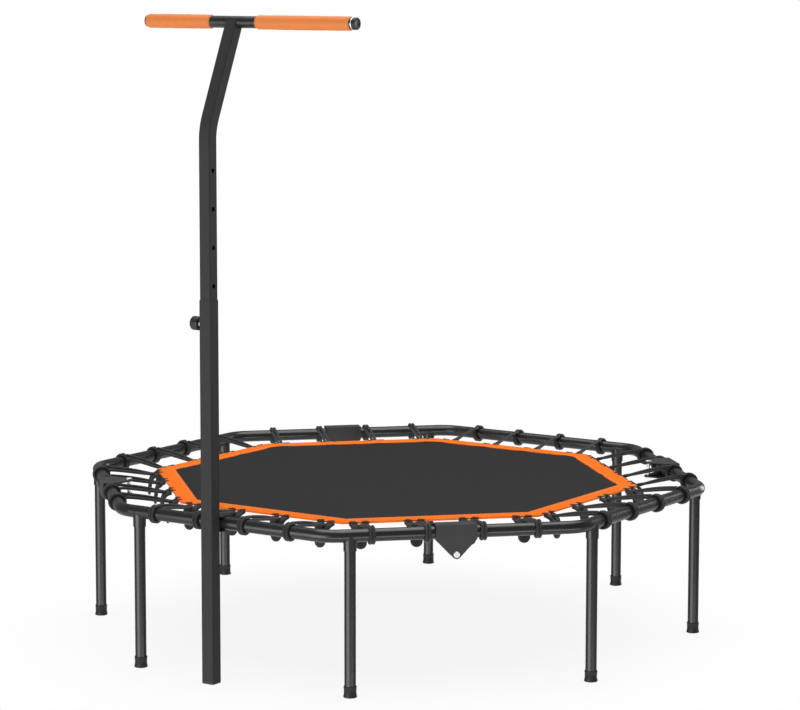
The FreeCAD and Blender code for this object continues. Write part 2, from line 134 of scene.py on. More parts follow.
def side_matrix(angle, along=0.0):
    """From the front side, shifted along it, to the side at this angle."""
    turn = Matrix.Rotation(math.radians(angle - FRONT_ANGLE), 4, "Z")
    return turn @ Matrix.Translation((along, 0, 0))


def ring_grid(rings, closed_path, cap_ends=False):
    """Faces and vertices that join rings of equally many points."""
    count = len(rings[0])
    verts = [p for ring in rings for p in ring]
    faces = []
    last = len(rings) if closed_path else len(rings) - 1
    for i in range(last):
        a = i * count
        b = (i + 1) % len(rings) * count
        for j in range(count):
            k = (j + 1) % count
            faces.append((a + j, a + k, b + k, b + j))
    if cap_ends:
        faces.append(tuple(range(count - 1, -1, -1)))
        faces.append(tuple(range(len(verts) - count, len(verts))))
    return verts, faces


def tube_along(points, radius, segments, closed=False):
    """A round tube that follows points; radius is a number or a function of the share."""
    count = len(points)
    tangents = []
    for i in range(count):
        before = points[i - 1] if i or closed else points[0]
        after = points[(i + 1) % count] if i < count - 1 or closed else points[-1]
        tangents.append((after - before).normalized())
    normal = tangents[0].orthogonal().normalized()
    rings = []
    uvs = []
    run = 0.0
    for i, (point, tangent) in enumerate(zip(points, tangents)):
        normal = (normal - tangent * normal.dot(tangent)).normalized()
        side = tangent.cross(normal)
        r = radius(i / (count - 1)) if callable(radius) else radius
        if i:
            run += (point - points[i - 1]).length
        ring = []
        for j in range(segments):
            turn = TURN * j / segments
            ring.append(point + (normal * math.cos(turn) + side * math.sin(turn)) * r)
            uvs.append((run, r * abs(turn - math.pi)))
        rings.append(ring)
    verts, faces = ring_grid(rings, closed, cap_ends=not closed)
    return verts, faces, uvs


def lathe(profile, segments, wobble=None):
    """Closed profile of (radius, height) points turned about Z; wobble(turn, r, z) scales r."""
    rings = []
    for j in range(segments):
        turn = TURN * j / segments
        ring = []
        for r, z in profile:
            grown = r * (wobble(turn, r, z) if wobble else 1)
            ring.append(Vector((grown * math.cos(turn), grown * math.sin(turn), z)))
        rings.append(ring)
    return ring_grid(rings, True)


def smooth_step(x):
    x = min(max(x, 0.0), 1.0)
    return x * x * (3 - 2 * x)


def soften(obj, width, angle=40, segments=2):
    bevel = obj.modifiers.new("edge", "BEVEL")
    bevel.width = width
    bevel.segments = segments
    bevel.limit_method = "ANGLE"
    bevel.angle_limit = math.radians(angle)
    return obj


# ---- materials ---------------------------------------------------------------
class Shader:
    """Short names for building a node material on one Principled shader."""

    def __init__(self, name, rough, **inputs):
        self.mat = bpy.data.materials.new(name)
        self.mat.use_nodes = True
        self.tree = self.mat.node_tree
        self.bsdf = self.tree.nodes["Principled BSDF"]
        self.bsdf.inputs["Roughness"].default_value = rough
        for key, value in inputs.items():
            self.bsdf.inputs[key.replace("_", " ")].default_value = value

    def node(self, kind, **settings):
        node = self.tree.nodes.new(kind)
        for key, value in settings.items():
            if key in node.inputs:
                node.inputs[key].default_value = value
            else:
                setattr(node, key, value)
        return node

    def link(self, a, b):
        self.tree.links.new(a, b)

    def place(self):
        return self.node("ShaderNodeTexCoord").outputs["Object"]

    def metres(self):
        return self.node("ShaderNodeUVMap", uv_map="metres").outputs["UV"]

    def math(self, operation, a, b=None, c=None):
        node = self.node("ShaderNodeMath", operation=operation)
        for i, value in enumerate((a, b, c)):
            if value is None:
                continue
            if isinstance(value, (int, float)):
                node.inputs[i].default_value = value
            else:
                self.link(value, node.inputs[i])
        return node.outputs[0]

    def noise(self, where, scale, detail=3.0, roughness=0.55):
        node = self.node("ShaderNodeTexNoise", Scale=scale, Detail=detail, Roughness=roughness)
        self.link(where, node.inputs["Vector"])
        return node.outputs["Fac"]

    def ramp(self, fac, *stops):
        """stops are (position, colour)."""
        node = self.node("ShaderNodeValToRGB")
        self.link(fac, node.inputs["Fac"])
        ramp = node.color_ramp
        while len(ramp.elements) < len(stops):
            ramp.elements.new(0.5)
        for element, (position, colour) in zip(ramp.elements, stops):
            element.position = position
            element.color = (*colour, 1)
        return node.outputs["Color"]

    def mix(self, fac, a, b):
        node = self.node("ShaderNodeMix", data_type="RGBA")
        for socket, value in ((node.inputs[0], fac), (node.inputs[6], a), (node.inputs[7], b)):
            if isinstance(value, (int, float)):
                socket.default_value = value
            elif isinstance(value, tuple):
                socket.default_value = (*value, 1)
            else:
                self.link(value, socket)
        return node.outputs[2]

    def colour(self, value):
        self.link(value, self.bsdf.inputs["Base Color"])

    def roughness(self, fac, low, high):
        node = self.node("ShaderNodeMapRange")
        self.link(fac, node.inputs["Value"])
        node.inputs["To Min"].default_value = low
        node.inputs["To Max"].default_value = high
        self.link(node.outputs["Result"], self.bsdf.inputs["Roughness"])

    def bump(self, height, distance, strength=1.0):
        node = self.node("ShaderNodeBump", Distance=distance, Strength=strength)
        self.link(height, node.inputs["Height"])
        previous = self.bsdf.inputs["Normal"].links
        if previous:
            self.link(previous[0].from_socket, node.inputs["Normal"])
        self.link(node.outputs["Normal"], self.bsdf.inputs["Normal"])

    def split(self, vector):
        node = self.node("ShaderNodeSeparateXYZ")
        self.link(vector, node.inputs[0])
        return node.outputs

    def wave(self, coordinate, pitch):
        """0 to 1 and back over each pitch."""
        turned = self.math("MULTIPLY", coordinate, TURN / pitch)
        return self.math("MULTIPLY_ADD", self.math("SINE", turned), 0.5, 0.5)

    def weave(self, u, v, pitch):
        """Over and under threads of a plain weave."""
        along = self.math("MULTIPLY", u, math.pi / pitch)
        across = self.math("MULTIPLY", v, math.pi / pitch)
        over = self.math("MULTIPLY", self.math("SINE", along), self.math("SINE", across))
        warp = self.math("ABSOLUTE", self.math("COSINE", along))
        weft = self.math("ABSOLUTE", self.math("COSINE", across))
        top = self.math("GREATER_THAN", over, 0.0)
        picked = self.math("MULTIPLY", self.math("SUBTRACT", warp, weft), top)
        thread = self.math("ADD", weft, picked)
        half_thread = self.math("MULTIPLY", thread, 0.5)
        return self.math("MULTIPLY_ADD", self.math("ABSOLUTE", over), 0.5, half_thread)


def coated_steel(name, dark, light, rough, specular=0.5):
    """Satin powder coat: orange peel, faint mottling and a few handling scuffs."""
    s = Shader(name, rough, Specular_IOR_Level=specular)
    where = s.place()
    mottle = s.noise(where, 34, 4)
    scuff = s.noise(where, 260, 6, 0.7)
    base = s.mix(mottle, dark, light)
    worn = s.ramp(scuff, (0.7, (0, 0, 0)), (0.8, (0.35, 0.35, 0.35)))
    s.colour(s.mix(worn, base, tuple(c * 1.6 for c in light)))
    s.roughness(mottle, rough - 0.03, rough + 0.05)
    s.bump(s.noise(where, 1500, 2), 0.00008, 0.35)
    s.bump(s.noise(where, 70, 2), 0.0002, 0.1)
    return s.mat


def plain_metal(name, colour, rough):
    s = Shader(name, rough, Metallic=1.0)
    where = s.place()
    speckle = s.noise(where, 700, 5)
    s.colour(s.mix(speckle, tuple(c * 0.78 for c in colour), colour))
    s.roughness(speckle, rough * 0.7, rough * 1.4)
    s.bump(s.noise(where, 2200, 2), 0.00008, 0.5)
    return s.mat


def moulded(name, colour, rough, grain=2400, specular=0.5):
    """Moulded plastic or rubber: fine spark texture and slight dust."""
    s = Shader(name, rough, Specular_IOR_Level=specular)
    where = s.place()
    dust = s.noise(where, 120, 5, 0.65)
    s.colour(s.mix(dust, colour, tuple(c * 1.7 + 0.002 for c in colour)))
    s.roughness(dust, rough - 0.08, rough + 0.12)
    s.bump(s.noise(where, grain, 3), 0.0002, 0.6)
    return s.mat


def woven_bed():
    """Black polypropylene mesh: a tight plain weave with slightly uneven yarns."""
    s = Shader("bed_weave", 0.68, Specular_IOR_Level=0.14)
    where = s.place()
    axes = s.split(where)
    drift = s.math("MULTIPLY", s.noise(where, 18, 3), 0.0006)
    thread = s.weave(s.math("ADD", axes["X"], drift), axes["Y"], 0.0021)
    tone = s.mix(s.noise(where, 9, 5, 0.6), (0.0165, 0.0165, 0.017), (0.0215, 0.0215, 0.022))
    # Painted shade: the colour is darker where the weave is low, in the gaps between threads,
    # following the same pattern as the bump.
    s.colour(s.mix(s.math("MULTIPLY", thread, 0.6), tuple([0.015] * 3), tone))
    s.roughness(thread, 0.78, 0.5)
    s.bump(thread, 0.0006, 0.55)
    return s.mat


def border_cloth():
    """Orange woven nylon with a fine twill."""
    s = Shader("border_cloth", 0.7, Specular_IOR_Level=0.05)
    uv = s.split(s.metres())
    where = s.place()
    twill = s.wave(s.math("ADD", uv["X"], uv["Y"]), 0.0013)
    tone = s.mix(s.noise(where, 22, 4), (0.95, 0.175, 0.012), (1.0, 0.215, 0.018))
    s.colour(s.mix(s.math("MULTIPLY", twill, 0.22), tone, (0.72, 0.105, 0.006)))
    s.bump(twill, 0.0004, 0.5)
    s.bump(s.noise(where, 1300, 3), 0.0003, 0.35)
    return s.mat


def thread_look(name, colour):
    s = Shader(name, 0.5, Sheen_Weight=0.2)
    where = s.place()
    ply = s.wave(s.math("ADD", s.split(where)["X"], s.split(where)["Y"]), 0.0011)
    # Painted shade: the colour is darker in the grooves between plies, where the bump is low.
    s.colour(s.mix(ply, tuple(c * 0.75 for c in colour), colour))
    s.bump(ply, 0.0002, 0.6)
    return s.mat


def webbing():
    """Ribbed polypropylene strap, drawn along the strap in metres."""
    s = Shader("webbing", 0.55, Specular_IOR_Level=0.35, Sheen_Weight=0.1)
    uv = s.split(s.metres())
    where = s.place()
    rib = s.wave(uv["Y"], 0.0022)
    pick = s.wave(s.math("ADD", uv["X"], s.math("MULTIPLY", rib, 0.0005)), 0.0014)
    height = s.math("MULTIPLY", rib, s.math("MULTIPLY_ADD", pick, 0.5, 0.5))
    # Painted shade: the colour is darker where the ribs and picks are low, in the grooves of the
    # bump.
    s.colour(s.mix(height, (0.004, 0.0043, 0.0047), (0.012, 0.0125, 0.0135)))
    s.roughness(s.noise(where, 150, 3), 0.42, 0.66)
    s.bump(height, 0.0007, 0.7)
    return s.mat


def braided_cord():
    """Two families of diagonal yarns round an elastic core."""
    s = Shader("bungee_braid", 0.5, Specular_IOR_Level=0.4, Sheen_Weight=0.1)
    uv = s.split(s.metres())
    right = s.wave(s.math("ADD", uv["X"], uv["Y"]), 0.0019)
    left = s.wave(s.math("SUBTRACT", uv["X"], uv["Y"]), 0.0019)
    height = s.math("MAXIMUM", right, left)
    # Painted shade: the colour is darker in the grooves between yarns, where the bump is low.
    s.colour(s.mix(height, (0.004, 0.0042, 0.0045), (0.014, 0.0145, 0.0155)))
    s.bump(height, 0.0006, 0.7)
    return s.mat


def foam():
    """Closed-cell foam with fine pores and faint moulding bands."""
    s = Shader("grip_foam", 0.5, Specular_IOR_Level=0.4)
    where = s.place()
    cells = s.node("ShaderNodeTexVoronoi", Scale=1500.0, feature="SMOOTH_F1")
    s.link(where, cells.inputs["Vector"])
    tone = s.mix(s.noise(where, 28, 4), (0.63, 0.172, 0.029), (0.71, 0.206, 0.04))
    # Painted shade: the pores are the pits of the bump and are given a darker colour.
    painted_pore_shade = s.ramp(cells.outputs["Distance"], (0.25, (1, 1, 1)), (0.75, (0, 0, 0)))
    s.colour(s.mix(s.math("MULTIPLY", painted_pore_shade, 0.16), tone, (0.5, 0.12, 0.03)))
    s.bump(cells.outputs["Distance"], 0.0003, 0.5)
    s.bump(s.noise(where, 60, 2), 0.0006, 0.3)
    return s.mat


MATERIALS = {
    "frame_paint": coated_steel(
        "frame_coat", (0.010, 0.0103, 0.011), (0.015, 0.0153, 0.016), 0.25),
    "hinge_paint": coated_steel(
        "hinge_coat", (0.020, 0.0203, 0.021), (0.028, 0.0283, 0.029), 0.4),
    "bright_steel": plain_metal("bright_rivet", (0.93, 0.93, 0.94), 0.42),
    "plain_steel": plain_metal("zinc_steel", (0.52, 0.53, 0.55), 0.34),
    "foot_rubber": moulded("foot_rubber", (0.007, 0.007, 0.008), 0.5, specular=0.4),
    "black_plastic": moulded("black_plastic", (0.007, 0.0075, 0.008), 0.36),
    "bed_fabric": woven_bed(),
    "border_fabric": border_cloth(),
    "webbing": webbing(),
    "bungee_cord": braided_cord(),
    "grip_foam": foam(),
}
SQUARE_COAT = coated_steel(
    "square_tube_coat", (0.0205, 0.0205, 0.02), (0.0255, 0.0255, 0.025), 0.58, specular=0.25)
SQUARE_NODES = ("post_lower", "post_upper", "post_strap", "mast")
BORDER_THREAD = thread_look("border_thread", (1.0, 0.36, 0.11))
BLACK_THREAD = thread_look("black_thread", (0.035, 0.036, 0.038))


def dress(obj, slot, body=None, material=None):
    """Gives a piece the material for its slot, or the one given, and a body when one is named."""
    obj.data.materials.clear()
    obj.data.materials.append(material or MATERIALS[slot])
    if body:
        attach(obj, body)
    return obj


def dress_cad_nodes():
    for part in frame["record"]["subparts"]:
        obj = frame["nodes"][part["node"]]
        obj.data.materials.clear()
        square = part["node"] in SQUARE_NODES
        obj.data.materials.append(SQUARE_COAT if square else MATERIALS[part["material_slot"]])


# ---- bed ----------------------------------------------------------------------
def bed_sheet():
    """The black bed: one taut sheet, with faint ripples that run in from each tab."""
    reach = BORDER_IN + BED_TUCK
    half_side = reach * SIDE_TAN
    steps = 132
    cells = 110
    verts = []
    for i in range(steps + 1):
        x = -reach + 2 * reach * i / steps
        y_end = reach if abs(x) <= half_side else reach - (abs(x) - half_side)
        verts += [Vector((x, y_end * (2 * j / cells - 1), 0)) for j in range(cells + 1)]
    for v in verts:
        v.z = RING_Z + ripple(v)
    row = cells + 1
    faces = [(i * row + j, (i + 1) * row + j, (i + 1) * row + j + 1, i * row + j + 1)
             for i in range(steps) for j in range(cells)]
    sheet = mesh_object("bed_sheet", verts, faces)
    solid = sheet.modifiers.new("cloth", "SOLIDIFY")
    solid.thickness = MAT_T
    solid.offset = 0
    return sheet


def side_place(point):
    """(along, out) of a point on the side of the octagon that it lies nearest."""
    turn = round(math.degrees(math.atan2(point.y, point.x)) / 45) * 45
    flat = Matrix.Rotation(math.radians(FRONT_ANGLE - turn), 3, "Z") @ Vector((point.x, point.y, 0))
    return flat.x, -flat.y


def ripple(point):
    along, out = side_place(point)
    near = smooth_step((out - BORDER_IN + 90 * MM) / (90 * MM))
    nearest = min(abs(along - band) for band in BAND_ALONG)
    return 0.7 * MM * near * math.cos(min(nearest / (24 * MM), 1) * math.pi)


def scallop(along):
    """How far the border's edge is drawn out: most at the two feet of each tab."""
    nearest = min(abs(abs(along - band) - 13 * MM) for band in BAND_ALONG)
    return 3.4 * MM * (1 - smooth_step(nearest / (9 * MM))) - 1.2 * MM


def border_point(share, v, lift):
    """share runs -1 to 1 along a side and v from the inner edge, 0, to the outer, 1."""
    apothem = BORDER_IN + v * (BORDER_OUT - BORDER_IN)
    along = share * apothem * SIDE_TAN
    out = apothem + scallop(along) * v ** 3
    return Vector((along, -out, RING_Z + lift))


def border_lift(v):
    """Half thickness of the folded border: pillowed between its stitch rows."""
    edge = min(v, 1 - v)
    rounded = math.sqrt(max(0.0, 1 - (1 - min(edge / 0.06, 1)) ** 2))
    groove = sum(0.28 * math.exp(-((v - row) / 0.03) ** 2) for row in STITCH_ROWS)
    return BORDER_T / 2 * rounded * (1 - groove)


def bed_border():
    """Folded strip sewn round the bed, mitred at the octagon's corners."""
    count = 26
    across = [(1 - math.cos(math.pi * i / count)) / 2 for i in range(count + 1)]
    loop = [(v, 1) for v in across] + [(v, -1) for v in across[-2:0:-1]]
    per_side = 96
    rings = []
    uvs = []
    for angle in SIDE_ANGLES:
        turn = side_matrix(angle)
        for i in range(per_side):
            share = 2 * i / per_side - 1
            along = share * BORDER_OUT * SIDE_TAN
            rings.append([turn @ border_point(share, v, way * border_lift(v)) for v, way in loop])
            uvs += [(along, v * (BORDER_OUT - BORDER_IN)) for v, way in loop]
    verts, faces = ring_grid(rings, True)
    return mesh_object("bed_border", verts, faces, True, uvs)


def dash(a, b, radius, sides=6):
    """One stitch: a short plump capsule from a to b."""
    points = [a.lerp(b, t) for t in (0, 0.14, 0.5, 0.86, 1)]
    shape = (0.35, 0.9, 1.0, 0.9, 0.35)
    return tube_along(points, lambda share: radius * shape[round(share * 4)], sides)


def border_stitches():
    pitch = 4.6 * MM
    threads = Builder()
    for angle in SIDE_ANGLES:
        turn = side_matrix(angle)
        for row in STITCH_ROWS:
            half = (BORDER_IN + row * (BORDER_OUT - BORDER_IN)) * SIDE_TAN
            count = int(2 * half / pitch)
            for i in range(count):
                ends = [-half + (i + s) * 2 * half / count for s in (0.14, 0.86)]
                lift = border_lift(row) + THREAD_R * 0.3
                a, b = [border_point(x / half, row, lift) for x in ends]
                threads.add(*dash(a, b, THREAD_R), turn)
    return threads.make("border_stitches")


# ---- webbing tabs ----------------------------------------------------------------
def tab_outline():
    """Strap that narrows from two feet at the bed to a round end; points run anticlockwise."""
    foot, notch, notch_deep, tail_r = 20 * MM, 3.5 * MM, 5 * MM, 12 * MM
    flank = foot - 1 * MM
    shoulder, waist = -4 * MM, tail_r - TAB_LENGTH * MM
    points = [(notch, 0.0), (foot, 0.0), (flank, shoulder)]
    for i in range(1, 7):
        t = i / 6
        x = flank + (tail_r - flank) * t ** 0.85
        points.append((x, shoulder + (waist - shoulder) * t))
    for i in range(1, 13):
        turn = math.pi * i / 12
        points.append((tail_r * math.cos(turn), waist - tail_r * math.sin(turn)))
    points += [(-x, z) for x, z in reversed(points[1:8])]
    points.append((-notch, 0.0))
    for i in range(1, 8):
        turn = math.pi * i / 8
        points.append((-notch * math.cos(turn), -notch_deep * math.sin(turn)))
    return points


def foot_patch(centre):
    """One foot of a tab, wrapped over the border's outer edge and sewn to its top."""
    # Millimetres: out from the border's edge, up from the bed, half the width there.
    line = ((2.9, 0.6, 8.5), (2.5, 1.7, 8.3), (0.2, 2.5, 7.0), (-3.2, 2.6, 5.0),
            (-6.0, 2.5, 3.2), (-8.5, 2.2, 1.4))
    half_t = 0.4
    rings = []
    for i, (out, z, half) in enumerate(line):
        before, after = line[max(i - 1, 0)], line[min(i + 1, len(line) - 1)]
        way = Vector((after[0] - before[0], after[1] - before[1])).normalized() * half_t
        corners = ((-half, 1), (half, 1), (half, -1), (-half, -1))
        rings.append([Vector((centre / MM + x, -out - side * way.y, z - side * way.x))
                      for x, side in corners])
    rings = [[Vector((0, -BORDER_OUT, RING_Z)) + v * MM for v in ring] for ring in rings]
    verts, faces = ring_grid(rings, False, cap_ends=True)
    return verts, faces, [(v.y + v.z, v.x) for v in verts]


def tab_bend():
    """Middle line of a tab at each millimetre: nearly level at the bed, then bending down."""
    line = [(Vector((0, 0)), math.radians(TAB_START))]
    for i in range(TAB_LENGTH):
        place = line[-1][0]
        bent = smooth_step((i + 1) / TAB_BEND)
        turned = math.radians(TAB_START + (TAB_HANG - TAB_START) * bent)
        way = Vector((math.cos(turned), -math.sin(turned)))
        line.append((place + way * MM, turned))
    return line


TAB_LINE = tab_bend()


def on_tab(x, z, depth):
    """A point of the flat tab, carried to the bent one; depth is towards its upper face."""
    run = min(max(-z / MM, 0.0), len(TAB_LINE) - 1.001)
    here = int(run)
    place = TAB_LINE[here][0].lerp(TAB_LINE[here + 1][0], run - here)
    heading = TAB_LINE[here][1]
    up = Vector((math.sin(heading), math.cos(heading)))
    return Vector((x, -place.x - up.x * depth, place.y + up.y * depth))


def tab_matrix():
    return Matrix.Translation((0, -BORDER_OUT - 0.5 * MM, RING_Z - 2.6 * MM))


def webbing_tab():
    """Two layers of strap: rings from the middle of one face, round the rim, to the other."""
    outline = tab_outline()
    centre = Vector((0, -24 * MM))
    # Share of the outline, and millimetres from the middle of the thickness.
    upper = (*((scale, TAB_HALF_T) for scale in (0.06, 0.3, 0.55, 0.76)),
             (0.9, 2.6), (0.97, 2.2), (1.0, 1.4), (1.0, 0.25))
    levels = (*upper, (0.975, 0.0), *((scale, -depth) for scale, depth in reversed(upper)))
    rings = []
    uvs = []
    for scale, depth in levels:
        ring = []
        for x, z in outline:
            p = centre + (Vector((x, z)) - centre) * scale
            ring.append(on_tab(p.x, p.y, depth * MM))
            uvs.append((p.y, p.x))
        rings.append(ring)
    verts, faces = ring_grid(rings, False, cap_ends=True)
    return verts, faces, uvs


def tab_stitches():
    """A box of thread through both layers, at the tail, and a bar tack on each foot."""
    box = ((-7, -27), (7, -27), (7, -46), (-7, -46))
    runs = list(zip(box, box[1:] + box[:1])) + [(box[0], box[2]), (box[1], box[3])]
    runs += [((way * 9.5, z), (way * 17, z)) for way in (-1, 1) for z in (-3.0, -5.0)]
    pitch = 3.4
    depth = (TAB_HALF_T + 0.05) * MM
    dashes = []
    for a, b in runs:
        a, b = Vector(a), Vector(b)
        count = max(2, round((b - a).length / pitch))
        for i in range(count):
            ends = [a.lerp(b, (i + share) / count) * MM for share in (0.15, 0.85)]
            dashes.append(dash(*[on_tab(p.x, p.y, depth) for p in ends], TAB_THREAD_R, 5))
    return dashes


# ---- bungee loops -----------------------------------------------------------------
def bungee_path():
    """Closed line of one loop: nearly two turns round the tube and two strands to a tab."""
    wrap_r = TUBE_R + CORD_R
    anchor = Vector((BORDER_OUT + 15 * MM - APOTHEM, -3 * MM))
    lean = math.acos(wrap_r / anchor.length)
    start = math.pi - lean
    end = -1.5 * TURN - 0.42     # past the tube's inner side, where the lower strand leaves
    half_gap = CORD_GAP / 2

    def at(x, out, z):
        return Vector((x, -APOTHEM - out, RING_Z + z))

    def on_tube(x, turn):
        return at(x, wrap_r * math.cos(turn), wrap_r * math.sin(turn))

    path = []
    turns = 60
    for i in range(turns + 1):
        turn = start + (end - start) * i / turns
        cross = smooth_step((-turn - math.pi / 2) / math.pi)
        path.append(on_tube(-half_gap + CORD_GAP * cross, turn))
    strand = 14
    inner = [at(half_gap, *anchor), at(-half_gap, *anchor)]
    leave = (path[turns] - path[turns - 1]).normalized() * 7 * MM
    arrive = Vector((0, -26 * MM, 2 * MM))
    for i in range(1, strand):
        t = i / strand
        knots = (path[turns], path[turns] + leave, inner[0] + arrive, inner[0])
        weights = ((1 - t) ** 3, 3 * t * (1 - t) ** 2, 3 * t * t * (1 - t), t ** 3)
        path.append(sum((k * w for k, w in zip(knots, weights)), Vector()))
    eye = 8
    for i in range(eye + 1):
        turn = math.pi * i / eye
        out = anchor.x - half_gap * math.sin(turn)
        path.append(at(half_gap * math.cos(turn), out, anchor.y))
    arch = 2.6 * MM
    for i in range(1, strand):
        t = i / strand
        path.append(inner[1].lerp(path[0], t) + Vector((0, 0, arch * math.sin(math.pi * t))))
    return path


def bed_hangers():
    """Tabs, their thread and the bungee loops, gathered for each half of the frame."""
    tab = webbing_tab()
    patches = [foot_patch(way * TAB_FOOT) for way in (-1, 1)]
    stitches = tab_stitches()
    cord = tube_along(bungee_path(), CORD_R, 12, closed=True)
    for body, name, way in ((LEFT, "left", -1), (RIGHT, "right", 1)):
        tabs, threads, cords = Builder(), Builder(), Builder()
        for angle in SIDE_ANGLES:
            for band in BAND_ALONG:
                turn = side_matrix(angle, band)
                if (turn @ Vector((0, -APOTHEM, 0))).x * way < 0:
                    continue
                jitter = Matrix.Translation((random.uniform(-1.6, 1.6) * MM, 0, 0))
                sway = Matrix.Rotation(math.radians(random.uniform(-4, 4)), 4, "Y")
                hang = turn @ jitter @ tab_matrix() @ sway
                tabs.add(*tab, hang)
                for patch in patches:
                    tabs.add(*patch, turn @ jitter)
                for piece in stitches:
                    threads.add(*piece, hang)
                cords.add(*cord, turn)
        piece = dress(tabs.make("webbing_tabs_" + name), "webbing", body)
        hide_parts("bed_tabs_" + name)
        dress(threads.make("tab_stitches_" + name), "webbing", body, BLACK_THREAD)
        piece = dress(cords.make("bungee_cords_" + name), "bungee_cord", body)
        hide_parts("bungee_loops_" + name)


def make_bed():
    sheet = dress(bed_sheet(), "bed_fabric")
    border = dress(bed_border(), "border_fabric")
    stitches = dress(border_stitches(), "border_fabric", None, BORDER_THREAD)
    for piece in (sheet, border, stitches):
        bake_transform(piece)
    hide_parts("bed_mat_left", "bed_mat_right")
    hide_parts("bed_border_left", "bed_border_right")
    bed_hangers()


# ---- handle pieces ------------------------------------------------------------------
def bar_frame():
    """Matrix that lays a lathe's Z along the crossbar, origin at the bar's middle line."""
    low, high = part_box("crossbar")
    turn = side_matrix(HANDLE_ANGLE)
    centre = (low + high) / 2
    lay = turn.to_3x3().to_4x4() @ Matrix.Rotation(math.pi / 2, 4, "Y")
    return Matrix.Translation(centre) @ lay


def on_bar(name, profile, segments):
    """A lathe piece that lies along the crossbar."""
    verts, faces = lathe(profile, segments)
    return mesh_object(name, [bar_frame() @ v for v in verts], faces)


def bar_span(node):
    """Where a node starts and ends along the crossbar, and its radius."""
    to_bar = bar_frame().inverted()
    points = [to_bar @ v.co for v in frame["nodes"][node].data.vertices]
    along = [p.z for p in points]
    radius = max(math.hypot(p.x, p.y) for p in points)
    return min(along), max(along), radius


def foam_grip(node):
    """Foam sleeve: faintly crowned, with soft ends and the tube's bore."""
    start, end, radius = bar_span(node)
    bore = bar_span("crossbar")[2] + 0.05 * MM
    soft = 3.2 * MM
    outside = []
    count = 44
    for i in range(count + 1):
        t = i / count
        z = start + soft + (end - start - 2 * soft) * t
        band = 0.1 * MM * math.sin(t * 31) + 0.06 * MM * math.sin(t * 83)
        outside.append((radius - 0.35 * MM + 0.35 * MM * math.sin(math.pi * t) + band, z))
    ends = []
    for way, rim in ((1, outside[-1]), (-1, outside[0])):
        corner = [(rim[0] - soft * (1 - math.cos(a)), rim[1] + way * soft * math.sin(a))
                  for a in (0.25, 0.55, 0.85, 1.2, math.pi / 2)]
        ends.append(corner)
    profile = [(bore, start), *reversed(ends[1]), *outside, *ends[0], (bore, end)]
    grip = on_bar(node + "_foam", profile, 56)
    dress(grip, "grip_foam", MAST)
    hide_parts(node)


def end_cap(node, way):
    """Ribbed plastic plug with a domed face, a dished centre and a bright ring behind it."""
    start, end, radius = bar_span(node)
    outer = end if way > 0 else start
    inner = start if way > 0 else end
    head = 8 * MM if way > 0 else 3 * MM
    neck = outer - way * head
    profile = [(0.0, inner), (radius - 1.7 * MM, inner), (radius - 1.7 * MM, neck), (radius, neck)]
    ribs = 3 if way > 0 else 1
    for i in range(ribs):
        for share, dip in ((0.25, 0.0), (0.45, 0.55), (0.62, 0.55), (0.8, 0.0)):
            z = neck + way * (head - 1.6 * MM) * (i + share) / ribs
            profile.append((radius - dip * MM, z))
    profile += [(radius - dip * MM, outer - way * back * MM) for dip, back in
                ((0, 1.2), (0.4, 0.4), (1.3, 0), (3.2, 0), (3.9, 0.9))]
    profile.append((0.0, outer - way * 1.1 * MM))
    if way < 0:
        profile.reverse()
    cap = on_bar(node + "_moulded", profile, 48)
    dress(soften(cap, 0.2 * MM), "black_plastic", MAST)
    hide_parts(node)
    rim = [(radius + grow * MM, neck - way * back * MM) for grow, back in
           ((-1, 2.2), (0.2, 2.2), (0.35, 1.8), (0.35, 0.5), (0.2, 0.1), (-1, 0.1))]
    if way < 0:
        rim.reverse()
    dress(on_bar(node + "_ring", rim, 48), "bright_steel", MAST)


def knob_frame():
    """Lays a lathe's Z along the locking pin, away from the post, origin on its rim."""
    low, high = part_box("knob_head")
    turn = side_matrix(HANDLE_ANGLE)
    axis = turn.to_3x3() @ Vector((-1, 0, 0))
    centre = (low + high) / 2
    radius = (high.z - low.z) / 2
    points = [(v.co - centre).dot(axis) for v in frame["nodes"]["knob_head"].data.vertices]
    base = centre + axis * min(points)
    spin = turn.to_3x3().to_4x4() @ Matrix.Rotation(-math.pi / 2, 4, "Y")
    return Matrix.Translation(base) @ spin, radius, max(points) - min(points)


def pull_knob():
    """Moulded knob with shallow finger flutes, a rolled rim and a hollow underside."""
    place, radius, length = knob_frame()
    web = length - 3.5 * MM
    profile = [(PIN_BORE_R, web), (KNOB_BORE_R, web), (KNOB_BORE_R, 0.0),
               (radius - 1.6 * MM, 0.0), (radius - 0.5 * MM, 0.5 * MM), (radius, 1.6 * MM)]
    profile += [(radius, length * t) for t in (0.25, 0.45, 0.65, 0.8)]
    profile += [(radius - 0.5 * MM, length - 1.4 * MM), (radius - 1.8 * MM, length - 0.4 * MM),
                (radius - 4 * MM, length), (radius - 7 * MM, length - 0.35 * MM),
                (0.0, length - 0.6 * MM), (0.0, length - 1.3 * MM),
                (PIN_BORE_R, length - 1.3 * MM)]

    flutes = 12

    def flute(turn, r, z):
        outside = smooth_step((r - KNOB_BORE_R) / (radius - KNOB_BORE_R))
        share = outside * smooth_step(z / (3 * MM))
        return 1 - 0.05 * share * max(0.0, math.cos(flutes * turn)) ** 2

    verts, faces = lathe(profile, 144, flute)
    knob = mesh_object("pull_knob", [place @ v for v in verts], faces)
    dress(soften(knob, 0.25 * MM, 50), "black_plastic", KNOB)
    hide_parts("knob_head")


